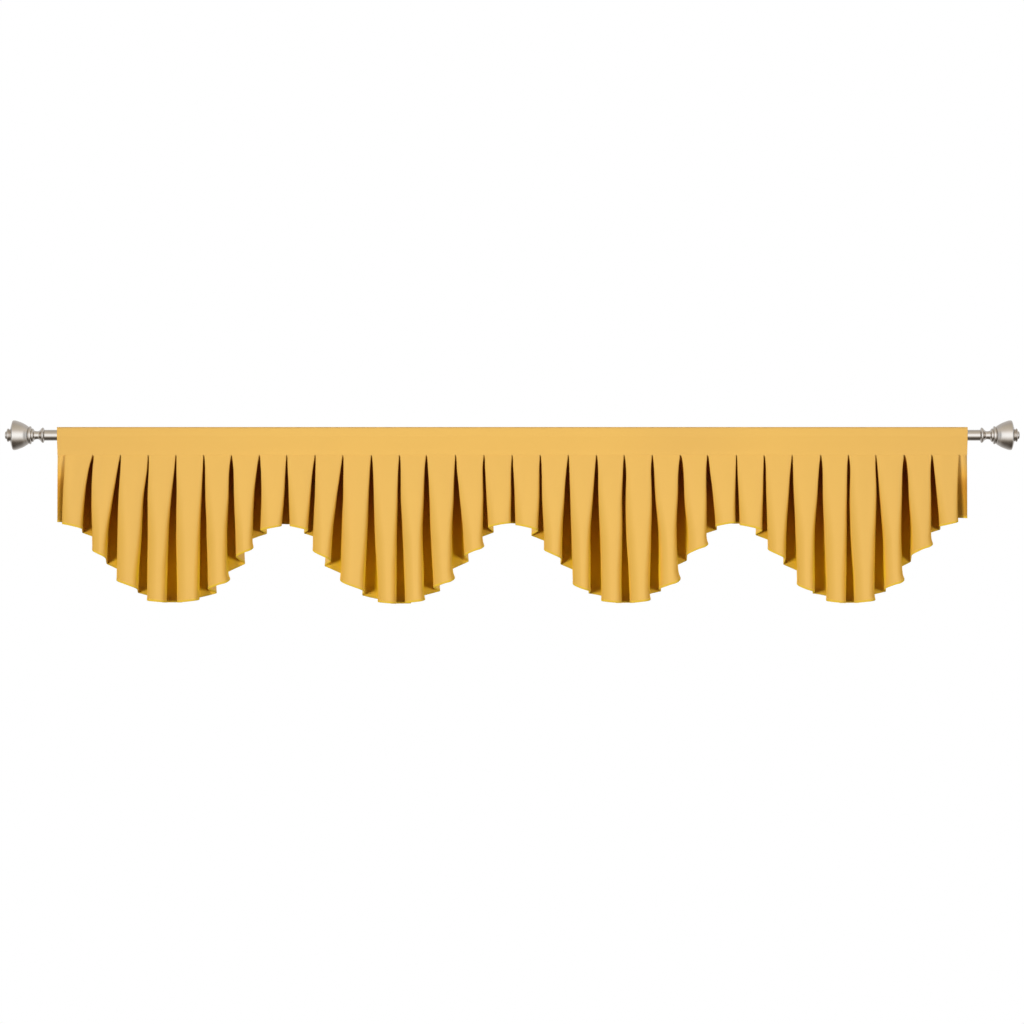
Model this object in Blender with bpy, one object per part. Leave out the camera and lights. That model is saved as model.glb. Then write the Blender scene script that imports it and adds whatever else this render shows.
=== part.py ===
"""Box-pleated scalloped valance hung on a curtain rod with a turned finial at each end.

Frame, in metres: origin on the rod's axis at its middle, +X along the rod, +Z up, -Y the room side.
Nodes: rod, finial_left, finial_right, heading_band (the cloth tube round the rod), pleated_skirt.
"""
import bpy
import bmesh
from collections import namedtuple
from math import acos, atan2, copysign, cos, exp, hypot, pi, radians, sin

MM = 0.001

# rod and finials, mm
ROD_RADIUS = 14.0
ROD_WALL = 1.2
ROD_LENGTH = 2431.0
ROD_SIDES = 48
PLUG_LENGTH = 25.0
FIT = 0.3
FINIAL_SIDES = 36

# cloth, mm
CLOTH = 1.2
CLOTH_HALF_WIDTH = 1182.5
BAND_TOP = 21.2
BAND_BOTTOM = -51.2
STITCHED_DEPTH = 8.0
HEADER_SQUARE = 4.5
SEAM_ALLOWANCE = 10.0
LAYER_GAP = 0.4
HIDDEN_SIDE = 27.2
DEPTH_AT_HEM = 44.0
DEPTH_SPREAD = 95.0
LEFT_CORNER = 7.0
RIGHT_CORNER = 14.0
BACK_CORNER = 5.6
FACE_BOW = 4.2
END_SWING = 0.35
CORNER_STEPS = 2

# hem of the flat cloth, mm below the seam, over scallops of eight pleats
SCALLOP = 8
LOWEST = 384.0
LOWEST_AT = (3.66, 11.63, 19.63, 27.68)
PEAKS = (173.0, 178.0, 177.0, 175.0, 167.0)
HEM_SHARPNESS = 1.15

# finial outline from the rod's end outwards, mm: distance and radius at each turned edge
FINIAL = (
    ("collar face", 0.0, 14.2),
    ("collar foot", 1.2, 16.0),
    ("collar ridge", 2.6, 19.4),
    ("collar crest", 4.4, 20.0),
    ("collar back", 6.8, 19.2),
    ("cove top", 9.4, 16.4),
    ("cove", 12.4, 12.8),
    ("neck start", 15.6, 11.1),
    ("neck", 19.4, 10.5),
    ("neck end", 26.2, 11.8),
    ("small ring foot", 27.8, 14.2),
    ("small ring", 29.2, 16.6),
    ("small ring crest", 31.4, 17.6),
    ("small ring back", 33.4, 17.2),
    ("big ring foot", 34.2, 20.4),
    ("big ring", 35.4, 22.9),
    ("big ring crest", 37.4, 23.5),
    ("big ring back", 39.8, 22.8),
    ("groove", 41.6, 21.4),
    ("cup foot", 43.0, 23.6),
    ("cup low", 50.6, 28.4),
    ("cup middle", 60.4, 33.5),
    ("cup high", 70.0, 36.9),
    ("cup shoulder", 75.4, 38.3),
    ("cup rim", 80.6, 38.7),
    ("rim edge", 83.6, 36.0),
    ("end cone", 88.6, 20.0),
    ("button groove", 91.4, 15.4),
    ("button", 95.0, 17.6),
    ("button front", 98.2, 12.4),
    ("knob foot", 99.2, 10.1),
    ("knob", 101.4, 9.4),
    ("knob front", 102.9, 5.6),
)
FINIAL_TIP = 103.2

# One row a pleat opening, mm. at: its place at the seam; gape: how far its right edge springs open right
# below the seam; l40..l320, r40..r320: how far its left and right edges stand off that place 40, 110,
# 200 and 320 below the seam; split: the share of the folded cloth that lies behind the left-hand face
# at the hem; soft: how much rounder the right-hand face's corner is; face and lobe: how much lower the
# right-hand face and the layer behind the opening are cut.
Opening = namedtuple("Opening", "at gape l40 l110 l200 l320 r40 r110 r200 r320 split soft face lobe")
OPENINGS = [
    Opening(*row)
    for row in (
        (-1163, 0.0, 0, 0, 0, 0, -1, -4, -6, -6, 0.50, 1.0, 0, 2),
        (-1091, 3.2, 10, 20, 26, 30, -2, -3, -1, -1, 0.22, 1.0, 4, 0),
        (-1019, 1.8, 7, 18, 30, 37, -1, -5, -7, -9, 0.26, 1.0, 1, 5),
        (-947, 1.8, 2, 11, 15, 24, 1, -1, 0, -2, 0.32, 1.0, 1, 2),
        (-875, 1.8, 3, 10, 17, 21, 1, 2, 1, 3, 0.50, 1.0, 2, 0),
        (-803, 1.8, 1, 4, 7, 9, 4, 6, 9, 12, 0.38, 1.0, 6, 4),
        (-731, 1.8, 4, 5, 10, 7, 5, 7, 11, 15, 0.42, 1.0, 3, 3),
        (-658, 1.8, 6, 13, 16, 19, 3, 5, 3, 3, 0.54, 1.0, 4, 1),
        (-587, 1.8, 2, 5, 13, 15, 2, 6, 9, 10, 0.50, 1.0, -1, 2),
        (-513, 1.8, 5, 11, 18, 20, 0, -1, -5, -7, 0.30, 1.0, 2, -5),
        (-441, 1.8, 5, 14, 25, 34, 1, 0, -4, -8, 0.54, 2.2, 2, 0),
        (-367, 1.8, 3, 6, 9, 15, 4, 6, 9, 15, 0.46, 1.0, 4, 5),
        (-294, 1.8, 2, 3, 5, 6, 3, 4, 8, 13, 0.50, 1.0, 4, 3),
        (-224, 1.8, 4, 6, 9, 6, 4, 8, 11, 18, 0.46, 1.0, 5, 1),
        (-148, 1.8, 2, 4, 8, 6, 3, 10, 18, 26, 0.54, 1.0, 3, 1),
        (-74, 1.8, 3, 1, 3, 5, 2, 6, 11, 15, 0.58, 1.0, -3, 1),
        (-1, 1.8, 2, 2, 3, 3, 2, 6, 9, 9, 0.50, 1.0, -2, 1),
        (72, 1.8, 2, 2, 5, 5, 3, 4, 8, 9, 0.46, 1.0, -1, 0),
        (145, 1.8, 4, 9, 15, 17, 2, 4, 7, 11, 0.30, 1.0, 8, -3),
        (218, 1.8, 3, 8, 15, 15, 4, 5, 8, 11, 0.36, 1.0, 2, 0),
        (290, 1.8, 2, 5, 4, 5, 4, 4, 5, 12, 0.50, 1.0, 4, 1),
        (363, 1.8, 2, 0, 2, 5, 4, 7, 15, 17, 0.62, 2.2, 9, 2),
        (436, 3.6, 4, 6, 9, 3, 6, 9, 16, 14, 0.74, 1.6, 0, 1),
        (507, 2.2, 3, 3, 2, 4, 5, 13, 20, 18, 0.74, 1.0, -2, -3),
        (582, 1.8, 1, 3, 3, 3, 2, 5, 8, 8, 0.50, 1.0, 2, 4),
        (654, 1.8, 1, 2, 4, 5, 4, 5, 7, 10, 0.44, 1.0, 4, 3),
        (727, 1.8, 4, 9, 15, 17, 1, 3, 7, 10, 0.32, 1.0, 13, 3),
        (801, 1.8, 4, 8, 15, 15, 4, 5, 8, 12, 0.36, 1.0, 3, 2),
        (873, 1.8, 3, 4, 4, 5, 4, 3, 4, 12, 0.50, 1.0, 3, 1),
        (944, 1.8, 0, -2, 1, 3, 4, 9, 16, 20, 0.62, 2.2, 7, 2),
        (1018, 3.6, 4, 6, 8, 3, 7, 10, 16, 17, 0.74, 1.6, 1, 5),
        (1090, 2.2, 3, 2, 2, 4, 5, 12, 19, 18, 0.74, 1.0, 4, 0),
        (1161, 0.0, 2, 4, 3, 3, 0, 0, 0, 0, 0.50, 1.0, 0, -3),
    )
]
STATIONS = (0.0, 40.0, 110.0, 200.0, 320.0)
# rows of the skirt's mesh: fixed drops by the seam, then shares of the way to the hem
TOP_ROWS = (-SEAM_ALLOWANCE, 0.0, 18.0, 50.0)
LOWER_ROWS = (0.34, 0.68, 1.0)

COLOURS = {
    "heading_band": (0.86, 0.50, 0.115, 1.0),
    "pleated_skirt": (0.84, 0.48, 0.105, 1.0),
    "rod": (0.52, 0.49, 0.44, 1.0),
    "finial_left": (0.50, 0.47, 0.42, 1.0),
    "finial_right": (0.50, 0.47, 0.42, 1.0),
}


def clear():
    for thing in list(bpy.data.objects):
        bpy.data.objects.remove(thing, do_unlink=True)


def finish_node(name, bm, metallic=0.0, roughness=0.9):
    """Turn a bmesh in mm into the named node with its own material."""
    for vert in bm.verts:
        vert.co *= MM
    mesh = bpy.data.meshes.new(name)
    bm.to_mesh(mesh)
    bm.free()
    node = bpy.data.objects.new(name, mesh)
    bpy.context.scene.collection.objects.link(node)
    material = bpy.data.materials.new(name)
    material.use_nodes = True
    shader = material.node_tree.nodes["Principled BSDF"]
    shader.inputs["Base Color"].default_value = COLOURS[name]
    shader.inputs["Metallic"].default_value = metallic
    shader.inputs["Roughness"].default_value = roughness
    mesh.materials.append(material)
    return node


def lathe(bm, outline, sides):
    """A closed turned body round X: outline holds (x, radius) from one end to the other."""
    rings = []
    for x, radius in outline:
        if radius <= 0.0:
            rings.append([bm.verts.new((x, 0.0, 0.0))])
        else:
            rings.append([
                bm.verts.new((x, radius * cos(2 * pi * k / sides), radius * sin(2 * pi * k / sides)))
                for k in range(sides)
            ])
    for one, two in zip(rings, rings[1:]):
        for k in range(sides):
            n = (k + 1) % sides
            if len(one) == 1:
                bm.faces.new((one[0], two[k], two[n]))
            elif len(two) == 1:
                bm.faces.new((one[k], two[0], one[n]))
            else:
                bm.faces.new((one[k], two[k], two[n], one[n]))
    bmesh.ops.recalc_face_normals(bm, faces=bm.faces)


def make_rod():
    bm = bmesh.new()
    half, inner = ROD_LENGTH / 2, ROD_RADIUS - ROD_WALL
    corners = ((-half, inner), (-half, ROD_RADIUS), (half, ROD_RADIUS), (half, inner))
    rings = [
        [
            bm.verts.new((x, r * cos(2 * pi * k / ROD_SIDES), r * sin(2 * pi * k / ROD_SIDES)))
            for k in range(ROD_SIDES)
        ]
        for x, r in corners
    ]
    for one, two in zip(rings, rings[1:] + rings[:1]):
        for k in range(ROD_SIDES):
            n = (k + 1) % ROD_SIDES
            bm.faces.new((one[k], two[k], two[n], one[n]))
    bmesh.ops.recalc_face_normals(bm, faces=bm.faces)
    finish_node("rod", bm, metallic=1.0, roughness=0.35)


def make_finial(name, side):
    bm = bmesh.new()
    start = ROD_LENGTH / 2 + FIT
    plug = ROD_RADIUS - ROD_WALL - FIT
    outline = [(start - PLUG_LENGTH, 0.0), (start - PLUG_LENGTH, plug - 1.0)]
    outline += [(start - PLUG_LENGTH + 1.0, plug), (start, plug)]
    outline += [(start + along, radius) for _, along, radius in FINIAL]
    outline += [(start + FINIAL_TIP, 0.0)]
    lathe(bm, [(side * x, radius) for x, radius in outline], FINIAL_SIDES)
    finish_node(name, bm, metallic=1.0, roughness=0.35)


def band_line():
    """The band's centre line round the rod: (y, z) from the front hem over the top to the back hem."""
    mid = ROD_RADIUS + FIT + CLOTH / 2
    stack = 3 * CLOTH + 2 * LAYER_GAP
    low = -(stack / 2 + FIT + CLOTH / 2)
    knee = (low, BAND_BOTTOM + STITCHED_DEPTH)
    lower = atan2(knee[1], knee[0]) - acos(mid / hypot(*knee)) + 2 * pi
    tangent = (mid * cos(lower), mid * sin(lower))
    reach = hypot(tangent[0] - knee[0], tangent[1] - knee[1])
    out = [knee[n] + (tangent[n] - knee[n]) * 7.0 / reach for n in (0, 1)]
    front = [(low, BAND_BOTTOM)]
    for k in range(5):
        t = k / 4
        front.append(tuple(
            (1 - t) ** 2 * p + 2 * t * (1 - t) * q + t * t * r
            for p, q, r in zip((low, knee[1] - 5.5), knee, out)
        ))
    for k in range(4):
        a = lower + (pi - lower) * k / 4
        front.append((mid * cos(a), mid * sin(a)))
    crest = BAND_TOP - CLOTH / 2
    for k in range(8):
        a = pi / 2 * k / 8
        front.append((-mid * cos(a) ** (2 / HEADER_SQUARE), crest * sin(a) ** (2 / HEADER_SQUARE)))
    return front + [(0.0, crest)] + [(-y, z) for y, z in reversed(front)]


def make_band():
    """The folded strip: stitched flat on the skirt's top, round the rod, and squared off above it."""
    points = band_line()
    line = []
    for n, (y, z) in enumerate(points):
        (y0, z0), (y1, z1) = points[max(n - 1, 0)], points[min(n + 1, len(points) - 1)]
        line.append((y, z, atan2(y0 - y1, z1 - z0) + pi))
    bm = bmesh.new()
    half = CLOTH / 2
    ends = []
    for x in (-CLOTH_HALF_WIDTH, CLOTH_HALF_WIDTH):
        outer = [bm.verts.new((x, y + half * cos(a), z + half * sin(a))) for y, z, a in line]
        inner = [bm.verts.new((x, y - half * cos(a), z - half * sin(a))) for y, z, a in line]
        ends.append((outer, inner))
    (outer0, inner0), (outer1, inner1) = ends
    last = len(line) - 1
    for k in range(last):
        bm.faces.new((outer0[k], outer0[k + 1], outer1[k + 1], outer1[k]))
        bm.faces.new((inner0[k], inner1[k], inner1[k + 1], inner0[k + 1]))
        bm.faces.new((outer0[k], inner0[k], inner0[k + 1], outer0[k + 1]))
        bm.faces.new((outer1[k], outer1[k + 1], inner1[k + 1], inner1[k]))
    for k in (0, last):
        bm.faces.new((outer0[k], outer1[k], inner1[k], inner0[k]))
    bmesh.ops.recalc_face_normals(bm, faces=bm.faces)
    finish_node("heading_band", bm)


def hem_drop(p):
    """How far below the seam the flat cloth is cut, at pleat coordinate p."""
    n = min(max(int((p + 0.3) // SCALLOP), 0), len(PEAKS) - 2)
    off = p - LOWEST_AT[n]
    peak = PEAKS[n] if off < 0 else PEAKS[n + 1]
    share = min(abs(off) / 4.0, 1.0) ** HEM_SHARPNESS
    last = len(OPENINGS) - 1
    face = min(max(int(p + 0.3), 0), last)
    behind = min(max(int(p + 0.8), 0), last)
    full = cos(pi * (p - face - 0.2)) ** 2
    trim = OPENINGS[face].face * full + OPENINGS[behind].lobe * (1 - full)
    return peak + (LOWEST - peak) * (1 + cos(pi * share)) / 2 + trim


def smooth_through(values, d):
    """A smooth curve through the values at the stations, running on gently past the last."""
    if d <= 0:
        return values[0]
    last = len(STATIONS) - 1
    slopes = []
    for k in range(last + 1):
        a, b = max(k - 1, 0), min(k + 1, last)
        slopes.append((values[b] - values[a]) / (STATIONS[b] - STATIONS[a]))
    if d >= STATIONS[last]:
        return values[last] + 0.6 * slopes[last] * (d - STATIONS[last])
    k = max(j for j in range(last) if STATIONS[j] <= d)
    h = STATIONS[k + 1] - STATIONS[k]
    t = (d - STATIONS[k]) / h
    return (
        (1 + 2 * t) * (1 - t) ** 2 * values[k]
        + t * (1 - t) ** 2 * h * slopes[k]
        + t * t * (3 - 2 * t) * values[k + 1]
        + t * t * (t - 1) * h * slopes[k + 1]
    )


def edges(row, d):
    """The centre line's left and right edges of an opening at drop d."""
    off = CLOTH / 2 + LAYER_GAP / 2
    left = smooth_through((0, row.l40, row.l110, row.l200, row.l320), d)
    right = smooth_through((0, row.r40, row.r110, row.r200, row.r320), d)
    fall = max(d, 0.0)
    right += row.gape * (1 - exp(-fall / 2.5)) * (0.35 + 0.95 * exp(-fall / 30.0))
    return row.at - off - left, row.at + off + right


def growth(d):
    """How far a form that is full at the hem has grown at drop d."""
    return (max(d, 0.0) / 380.0) ** 0.8


def swell(d):
    """How far the faces' roundness has grown at drop d: most of it in the upper third."""
    return 1 - exp(-max(d, 0.0) / 110.0)


def corner_radii(d, corner):
    """Radii of a side's bend at the face, crisp by the seam, and at the layer behind."""
    tight = (CLOTH + LAYER_GAP) / 2
    g = min(max(d, 0.0) / 300.0, 1.0) ** 1.3
    return tight + (corner - tight) * g, tight + (BACK_CORNER - tight) * swell(d)


def pleat_depth(d):
    flat = 2 * (CLOTH + LAYER_GAP)
    share = (1 - exp(-max(d, 0.0) / DEPTH_SPREAD)) / (1 - exp(-380.0 / DEPTH_SPREAD))
    return flat + (DEPTH_AT_HEM - flat) * share


def side_fold(hidden, d, r):
    """Turn angle and straight run of a pleat's side that hides this much cloth at drop d."""

    def run(a):
        return (hidden + r * (sin(a) - a)) / (1 - cos(a))

    target = pleat_depth(d)
    low, high = radians(91.0), pi
    for _ in range(40):
        a = (low + high) / 2
        if r * (1 - cos(a)) + run(a) * sin(a) > target:
            low = a
        else:
            high = a
    a = (low + high) / 2
    return a, run(a)


def side_path(edge, hidden, d, corner):
    """From a face's right-hand corner back to the layer behind: (x, y, turn) points, y from the face."""
    r1, r2 = corner_radii(d, corner)
    angle, run = side_fold(hidden, d, r1 + r2)
    x0 = edge - r1
    points = []
    for k in range(CORNER_STEPS + 1):
        a = angle * k / CORNER_STEPS
        points.append((x0 + r1 * sin(a), r1 * (1 - cos(a)), a))
    x1 = x0 + r1 * sin(angle) + run * cos(angle)
    y1 = r1 * (1 - cos(angle)) + run * sin(angle)
    for k in range(CORNER_STEPS + 1):
        a = angle * (1 - k / CORNER_STEPS)
        points.append((x1 + r2 * (sin(angle) - sin(a)), y1 + r2 * (cos(a) - cos(angle)), a))
    return points


def face_front(k, d):
    """Depth of face k's own plane, and the middle of its width."""
    left = edges(OPENINGS[k], d)[1]
    right = edges(OPENINGS[k + 1], d)[0]
    lean = 2.2 * sin(1.9 * k + 0.7) * growth(d)
    return -pleat_depth(d) / 2 + lean, (left + right) / 2


def bowed(points, middle, edge, d):
    """The points of half a face and its corner, bowed towards the room and steeper by the edge."""
    found, past = [], False
    for x, y, a in points:
        s = min((x - middle) / (edge - middle), 1.0)
        past = past or abs(a) > pi / 2
        if past:
            found.append((x, y, a))
            continue
        bow = FACE_BOW * swell(d)
        lean = atan2(4 * bow * s ** 3, abs(edge - middle)) * cos(a)
        found.append((x, y - bow * (1 - s ** 4), a + copysign(lean, edge - middle)))
    return found


def section(i, d):
    """Opening i's share of the skirt at drop d, from the middle of one face to that of the next.

    Points are (x, y, turn, length so far); the front's normal is (sin turn, -cos turn).
    """
    row, last = OPENINGS[i], len(OPENINGS) - 1
    left_edge, right_edge = edges(row, d)
    split = 0.5 + (row.split - 0.5) * growth(d)
    raw = []
    if 0 < i < last:
        y0, c0 = face_front(i - 1, d)
        y1, c1 = face_front(i, d)
        flat0 = (face_front(i, 0)[1] - face_front(i - 1, 0)[1]) + 4 * HIDDEN_SIDE
        folded = flat0 - (c1 - c0)
    elif i == 0:
        y1, c1 = face_front(0, d)
        folded = 4 * HIDDEN_SIDE + 2 * (face_front(0, 0)[1] - c1)
    else:
        y0, c0 = face_front(last - 1, d)
        folded = 4 * HIDDEN_SIDE + 2 * (c0 - face_front(last - 1, 0)[1])
    if i > 0:
        left = [(x, y0 + y, a) for x, y, a in side_path(left_edge, folded * split, d, RIGHT_CORNER)]
        raw += bowed([(c0, y0, 0.0)] + left, c0, left_edge, d)
    else:
        raw.append((-CLOTH_HALF_WIDTH, y1 + END_SWING * pleat_depth(d) + (1 - END_SWING) * 3.2, 0.0))
    if i < last:
        mirrored = side_path(-right_edge, folded * (1 - split), d, LEFT_CORNER * row.soft)
        right = [(-x, y1 + y, -a) for x, y, a in mirrored]
        raw += bowed([(c1, y1, 0.0)] + right, c1, right_edge, d)[::-1]
    else:
        raw.append((CLOTH_HALF_WIDTH, y0 + END_SWING * pleat_depth(d) + (1 - END_SWING) * 3.2, 0.0))
    points, length = [], 0.0
    for k, (x, y, a) in enumerate(raw):
        if k:
            length += hypot(x - raw[k - 1][0], y - raw[k - 1][1])
        points.append((x, y, a, length))
    return points


def pleat_coordinate(i, points, k):
    last = len(OPENINGS) - 1
    if i == 0:
        return 0.2 - (points[-1][3] - points[k][3]) / (72.5 + 4 * HIDDEN_SIDE)
    if i == last:
        return last - 0.8 + points[k][3] / (72.5 + 4 * HIDDEN_SIDE)
    return i - 0.8 + points[k][3] / points[-1][3]


def make_skirt():
    """The folded sheet: one column a point of the sections, one row a drop, front and back skins."""
    last = len(OPENINGS) - 1
    bm = bmesh.new()
    fronts, backs = [], []
    for i in range(last + 1):
        count = len(section(i, 0.0))
        for k in range(count if i == last else count - 1):
            front, back = [], []
            for row in range(len(TOP_ROWS) + len(LOWER_ROWS)):
                d = TOP_ROWS[min(row, len(TOP_ROWS) - 1)]
                points = section(i, d)
                if row >= len(TOP_ROWS):
                    share = LOWER_ROWS[row - len(TOP_ROWS)]
                    for _ in range(4):
                        hem = hem_drop(pleat_coordinate(i, points, k))
                        d = TOP_ROWS[-1] + share * (hem - TOP_ROWS[-1])
                        points = section(i, d)
                x, y, a, _ = points[k]
                z = BAND_BOTTOM - d
                nx, ny = CLOTH / 2 * sin(a), -CLOTH / 2 * cos(a)
                front.append(bm.verts.new((x + nx, y + ny, z)))
                back.append(bm.verts.new((x - nx, y - ny, z)))
            fronts.append(front)
            backs.append(back)
    rows = len(fronts[0])
    for c in range(len(fronts) - 1):
        f0, f1, b0, b1 = fronts[c], fronts[c + 1], backs[c], backs[c + 1]
        for r in range(rows - 1):
            bm.faces.new((f0[r], f0[r + 1], f1[r + 1], f1[r]))
            bm.faces.new((b0[r], b1[r], b1[r + 1], b0[r + 1]))
        for r in (0, rows - 1):
            bm.faces.new((f0[r], f1[r], b1[r], b0[r]) if r == 0 else (f0[r], b0[r], b1[r], f1[r]))
    for c in (0, len(fronts) - 1):
        for r in range(rows - 1):
            quad = (fronts[c][r], backs[c][r], backs[c][r + 1], fronts[c][r + 1])
            bm.faces.new(quad if c == 0 else quad[::-1])
    bmesh.ops.recalc_face_normals(bm, faces=bm.faces)
    finish_node("pleated_skirt", bm)


clear()
make_rod()
make_finial("finial_left", -1)
make_finial("finial_right", 1)
make_band()
make_skirt()
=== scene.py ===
"""Window valance on a curtain rod: heading band, box-pleated scalloped skirt, sewing, finials."""

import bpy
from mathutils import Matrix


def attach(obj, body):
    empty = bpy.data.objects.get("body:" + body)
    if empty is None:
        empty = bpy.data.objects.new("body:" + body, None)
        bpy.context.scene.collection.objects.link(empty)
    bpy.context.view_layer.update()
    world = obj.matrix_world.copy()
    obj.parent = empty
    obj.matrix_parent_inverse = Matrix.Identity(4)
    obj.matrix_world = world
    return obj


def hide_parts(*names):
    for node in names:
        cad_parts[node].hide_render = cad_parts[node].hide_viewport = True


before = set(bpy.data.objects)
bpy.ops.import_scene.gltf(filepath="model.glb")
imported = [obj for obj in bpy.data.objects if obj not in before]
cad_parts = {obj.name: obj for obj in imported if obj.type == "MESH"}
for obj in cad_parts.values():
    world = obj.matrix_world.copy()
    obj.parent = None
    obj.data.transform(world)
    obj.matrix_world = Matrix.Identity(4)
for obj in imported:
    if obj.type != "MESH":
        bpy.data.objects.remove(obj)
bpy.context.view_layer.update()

from collections import namedtuple
from math import acos, atan2, ceil, copysign, cos, exp, hypot, pi, radians, sin

import bmesh
import bpy
from mathutils import Euler, Matrix, Vector, noise

bl_info = {
    "name": "Box-pleated window valance",
    "version": (1, 0, 0),
    "blender": (4, 5, 0),
    "location": "View3D > Sidebar > Valance",
    "description": "Dresses a scalloped valance on its rod and sets its stage",
    "category": "Object",
}

MM = 0.001
BODY = "root"
# per-point layers: the distance from the hem, then the shares of painted shade in the folds, along
# the faces' edges and low on the end strips
LAYERS = ("from_hem", "in_fold", "by_edge", "at_end")

# -------------------- sizes shared with the solids, mm
ROD_RADIUS = 14.0
ROD_WALL = 1.2
ROD_LENGTH = 2431.0
PLUG_LENGTH = 25.0
FIT = 0.3
CLOTH = 1.2
CLOTH_HALF_WIDTH = 1182.5
BAND_TOP = 21.2
BAND_BOTTOM = -51.2
STITCHED_DEPTH = 8.0
SEAM_ALLOWANCE = 10.0
LAYER_GAP = 0.4
HIDDEN_SIDE = 27.2
FLAT_STACK = 2 * (CLOTH + LAYER_GAP)
SEAM_STACK = 3 * CLOTH + 2 * LAYER_GAP
FULL_DROP = 380.0
DEPTH_AT_HEM = 44.0
DEPTH_SPREAD = 95.0
LEFT_CORNER = 7.0
RIGHT_CORNER = 14.0
BACK_CORNER = 5.6
CORNER_DROP = 300.0
FACE_BOW = 4.2
BOW_DROP = 110.0
FACE_LEAN = 2.2
END_SWING = 0.35

# the hem, cut over scallops of eight pleats; a face's middle lies FACE_AT pleats past its opening
SCALLOP = 8
FACE_WIDTH = 72.5
PLEAT_CLOTH = FACE_WIDTH + 4 * HIDDEN_SIDE
FACE_AT = 0.2
HEM_GUESS, HEM_ROUNDS = 300.0, 6
LOWEST = 384.0
LOWEST_AT = (3.66, 11.63, 19.63, 27.68)
PEAKS = (173.0, 178.0, 177.0, 175.0, 167.0)
HEM_SHARPNESS = 1.15

# how an opening springs open below the seam: over which drops, and what share stays and fades
GAPE_START, GAPE_FADE = 2.5, 30.0
GAPE_STAYS, GAPE_FADES = 0.35, 0.95

# finer outline of the finial from the rod's end outwards, mm: distance, radius, 1 where it is crisp
FINIAL = (
    (0.0, 14.2, 1), (1.2, 16.0, 0), (2.6, 19.4, 0), (4.4, 20.2, 0), (6.8, 19.3, 0),
    (9.4, 16.4, 0), (12.2, 13.0, 0), (15.4, 11.0, 0), (19.2, 10.4, 0), (23.2, 11.1, 0),
    (26.4, 11.8, 0), (27.8, 14.4, 0), (29.2, 16.8, 0), (31.4, 17.8, 0), (33.4, 17.2, 1),
    (34.2, 20.6, 0), (35.4, 23.2, 0), (37.2, 23.6, 0), (39.8, 22.9, 0), (41.6, 21.4, 1),
    (43.0, 23.8, 0), (48.2, 26.9, 0), (53.2, 30.1, 0), (58.4, 32.6, 0), (64.0, 34.8, 0),
    (70.0, 37.0, 0), (75.2, 38.5, 0), (79.6, 38.9, 0), (82.0, 38.5, 0), (83.6, 36.4, 0),
    (88.4, 20.4, 0), (89.4, 17.6, 1), (90.6, 15.6, 0), (92.2, 15.2, 0), (93.4, 17.0, 0),
    (95.2, 17.8, 0), (97.2, 16.4, 0), (98.4, 12.0, 0), (99.2, 10.0, 1), (100.8, 10.2, 0),
    (102.2, 8.8, 0), (102.9, 5.6, 0),
)
FINIAL_TIP = 103.2

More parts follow.
